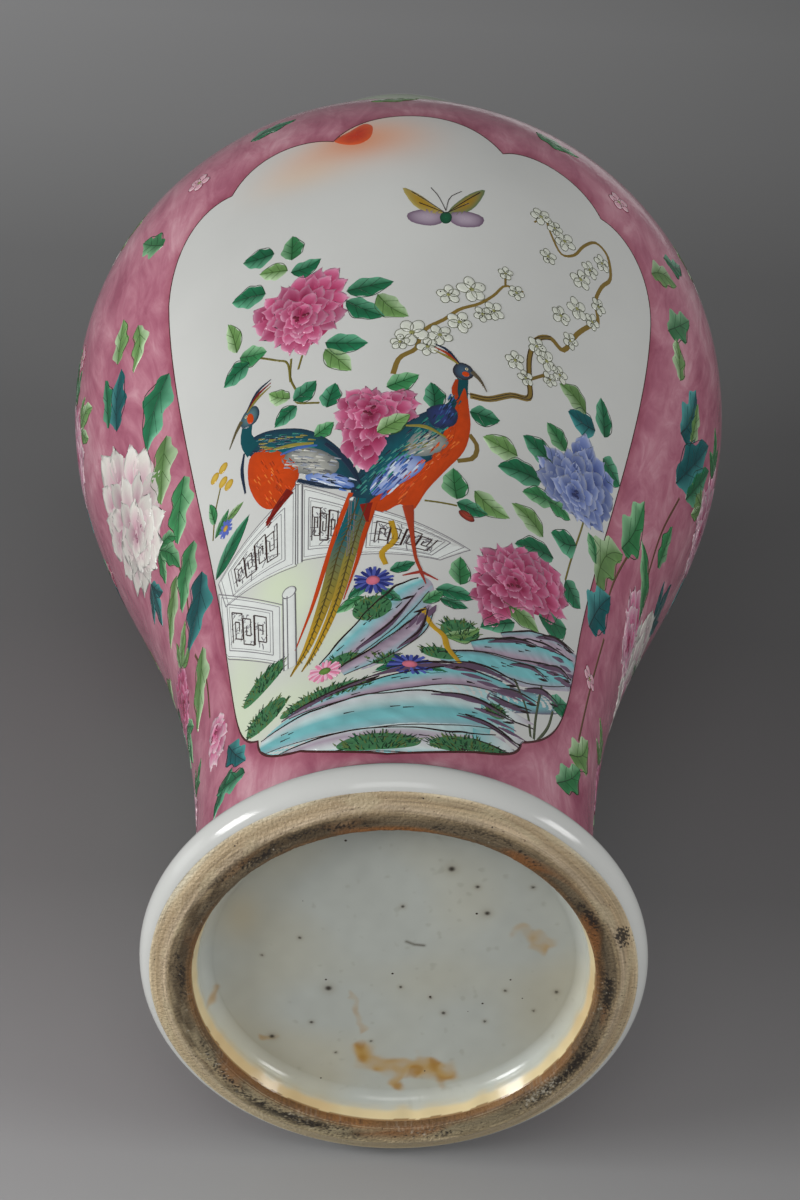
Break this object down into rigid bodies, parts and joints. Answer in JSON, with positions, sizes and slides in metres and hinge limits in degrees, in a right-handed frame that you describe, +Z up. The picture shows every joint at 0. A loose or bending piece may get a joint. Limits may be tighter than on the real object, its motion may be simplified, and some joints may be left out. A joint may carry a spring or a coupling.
{
  "type": "porcelain baluster vase",
  "caption": "Free-standing porcelain vase: flared foot, tapering body, round shoulder, short neck and open mouth; it stands for display or holds flowers and water.",
  "frame": {"origin": "centre of the flat ring that the vase stands on", "axes": "+Z up along the vase's axis, -Y through the middle of the front panel, +X to the right of that panel"},
  "size_m": [0.181, 0.181, 0.3409],
  "materials": {
    "biscuit": "unglazed, stained and worn",
    "porcelain_body": "fired porcelain under glaze",
    "clear_glaze": "gloss white glaze with fine pits",
    "panel_glaze": "gloss white glaze, painted",
    "rose_enamel": "brushed rose enamel, soft gloss",
    "painted_enamel": "raised translucent enamels, gloss"
  },
  "bodies": {
    "root": {"foot_ring": "biscuit", "foot_wall": "porcelain_body", "base_floor": "porcelain_body", "base_glaze": "clear_glaze", "lower_body": "porcelain_body", "shoulder": "porcelain_body", "neck": "porcelain_body", "mouth_lip": "porcelain_body", "inner_glaze": "clear_glaze", "foot_glaze": "clear_glaze", "ground_enamel": "rose_enamel", "front_panel": "panel_glaze", "back_panel": "panel_glaze", "neck_glaze": "clear_glaze"}
  },
  "joints": []
}
